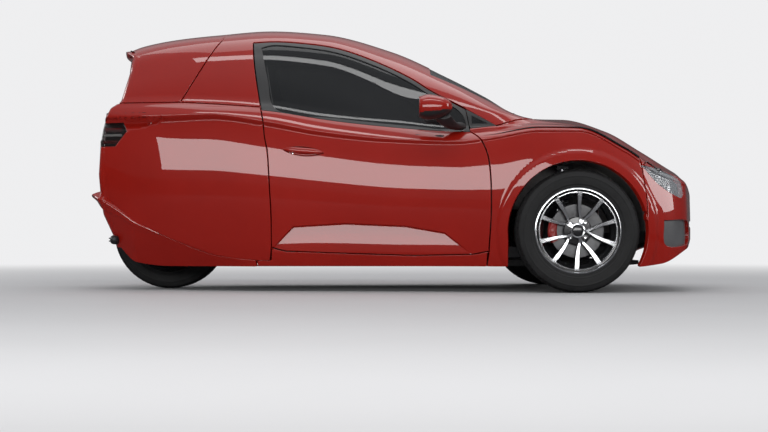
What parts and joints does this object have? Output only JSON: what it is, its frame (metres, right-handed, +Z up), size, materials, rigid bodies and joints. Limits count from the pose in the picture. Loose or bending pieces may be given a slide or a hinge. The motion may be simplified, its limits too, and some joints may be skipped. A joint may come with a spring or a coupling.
{
  "type": "three-wheeled single-seat car",
  "caption": "Small enclosed car with two steered front wheels and a single driven rear wheel, hinged doors, bonnet and tailgate.",
  "frame": {"origin": "on the ground, in the middle of the car's length and width", "axes": "+X forward, +Y to the car's left, +Z up"},
  "size_m": [3.1139, 1.54, 1.3389],
  "materials": {
    "body_paint": "deep red gloss paint under clear coat",
    "tinted_glass": "dark tinted safety glass",
    "black_trim": "black moulded plastic",
    "lamp_clear": "clear lamp lens",
    "lamp_red": "red lamp lens",
    "underbody": "black underbody coating",
    "chassis_steel": "black painted steel",
    "damper_steel": "zinc plated steel",
    "disc_iron": "turned cast iron",
    "caliper_red": "red caliper paint",
    "wheel_alloy": "machined alloy with clear coat",
    "tyre_rubber": "black rubber",
    "cabin_plastic": "grained black plastic",
    "seat_cloth": "dark woven cloth",
    "battery_case": "cast case",
    "motor_case": "cast case"
  },
  "bodies": {
    "body": {"front_bumper": "body_paint", "front_wings": "body_paint", "cowl_panel": "body_paint", "roof_panel": "body_paint", "side_frames": "body_paint", "rear_quarters": "body_paint", "rear_skirt": "body_paint", "sills": "body_paint", "windscreen": "tinted_glass", "quarter_lights": "tinted_glass", "front_grilles": "black_trim", "arch_liners": "black_trim", "headlamps": "lamp_clear", "tail_lamps": "lamp_red", "floor_pan": "underbody", "front_bulkhead": "underbody", "rear_bulkhead": "underbody", "boot_floor": "underbody", "front_subframe": "chassis_steel", "front_wishbones": "chassis_steel", "swing_arm": "chassis_steel", "dampers": "damper_steel", "dashboard": "cabin_plastic", "seat_base": "seat_cloth", "seat_back": "seat_cloth", "battery_pack": "battery_case", "drive_motor": "motor_case"},
    "bonnet_lid": {"bonnet": "body_paint"},
    "tailgate_lid": {"tailgate": "body_paint", "tailgate_glass": "tinted_glass"},
    "left_door": {"door_left": "body_paint", "door_glass_left": "tinted_glass", "mirror_left": "body_paint"},
    "right_door": {"door_right": "body_paint", "door_glass_right": "tinted_glass", "mirror_right": "body_paint"},
    "left_knuckle": {"knuckle_left": "chassis_steel", "caliper_left": "caliper_red"},
    "right_knuckle": {"knuckle_right": "chassis_steel", "caliper_right": "caliper_red"},
    "left_wheel": {"tyre_front_left": "tyre_rubber", "rim_front_left": "wheel_alloy", "brake_disc_left": "disc_iron"},
    "right_wheel": {"tyre_front_right": "tyre_rubber", "rim_front_right": "wheel_alloy", "brake_disc_right": "disc_iron"},
    "rear_wheel": {"tyre_rear": "tyre_rubber", "rim_rear": "wheel_alloy"},
    "rack": {"steering_rack": "damper_steel"},
    "hand_wheel": {"steering_wheel": "cabin_plastic"}
  },
  "joints": [
    {"name": "steer_left", "type": "hinge", "parent": "body", "child": "left_knuckle", "pos_m": [0.876, 0.607, 0.293], "axis": [0, 0, 1], "range_deg": [-30, 30]},
    {"name": "steer_right", "type": "hinge", "parent": "body", "child": "right_knuckle", "pos_m": [0.876, -0.607, 0.293], "axis": [0, 0, 1], "range_deg": [-30, 30]},
    {"name": "rack_slide", "type": "slide", "parent": "body", "child": "rack", "axis": [0, 1, 0], "range_m": [-0.041, 0.041]},
    {"name": "hand_wheel_turn", "type": "hinge", "parent": "body", "child": "hand_wheel", "pos_m": [0.06, 0, 0.7], "axis": [-0.9135, 0, 0.4067], "range_deg": [-361, 361]},
    {"name": "spin_left", "type": "hinge", "parent": "left_knuckle", "child": "left_wheel", "pos_m": [0.876, 0.632, 0.293], "axis": [0, 1, 0], "continuous": true},
    {"name": "spin_right", "type": "hinge", "parent": "right_knuckle", "child": "right_wheel", "pos_m": [0.876, -0.632, 0.293], "axis": [0, 1, 0], "continuous": true},
    {"name": "spin_rear", "type": "hinge", "parent": "body", "child": "rear_wheel", "pos_m": [-1.156, 0, 0.293], "axis": [0, 1, 0], "continuous": true},
    {"name": "door_left_hinge", "type": "hinge", "parent": "body", "child": "left_door", "pos_m": [0.405, 0.655, 0.45], "axis": [0, 0, -1], "range_deg": [0, 65]},
    {"name": "door_right_hinge", "type": "hinge", "parent": "body", "child": "right_door", "pos_m": [0.405, -0.655, 0.45], "axis": [0, 0, 1], "range_deg": [0, 65]},
    {"name": "bonnet_hinge", "type": "hinge", "parent": "body", "child": "bonnet_lid", "pos_m": [0.71475, 0, 0.87], "axis": [0, -1, 0], "range_deg": [0, 55]},
    {"name": "tailgate_hinge", "type": "hinge", "parent": "body", "child": "tailgate_lid", "pos_m": [-0.8151, 0, 1.323], "axis": [0, 1, 0], "range_deg": [0, 70]}
  ],
  "couplings": [
    {"joint": "steer_right", "follows": "steer_left", "ratio": 1},
    {"joint": "rack_slide", "follows": "steer_left", "m_per_rad": -0.0764},
    {"joint": "hand_wheel_turn", "follows": "steer_left", "ratio": 12}
  ]
}
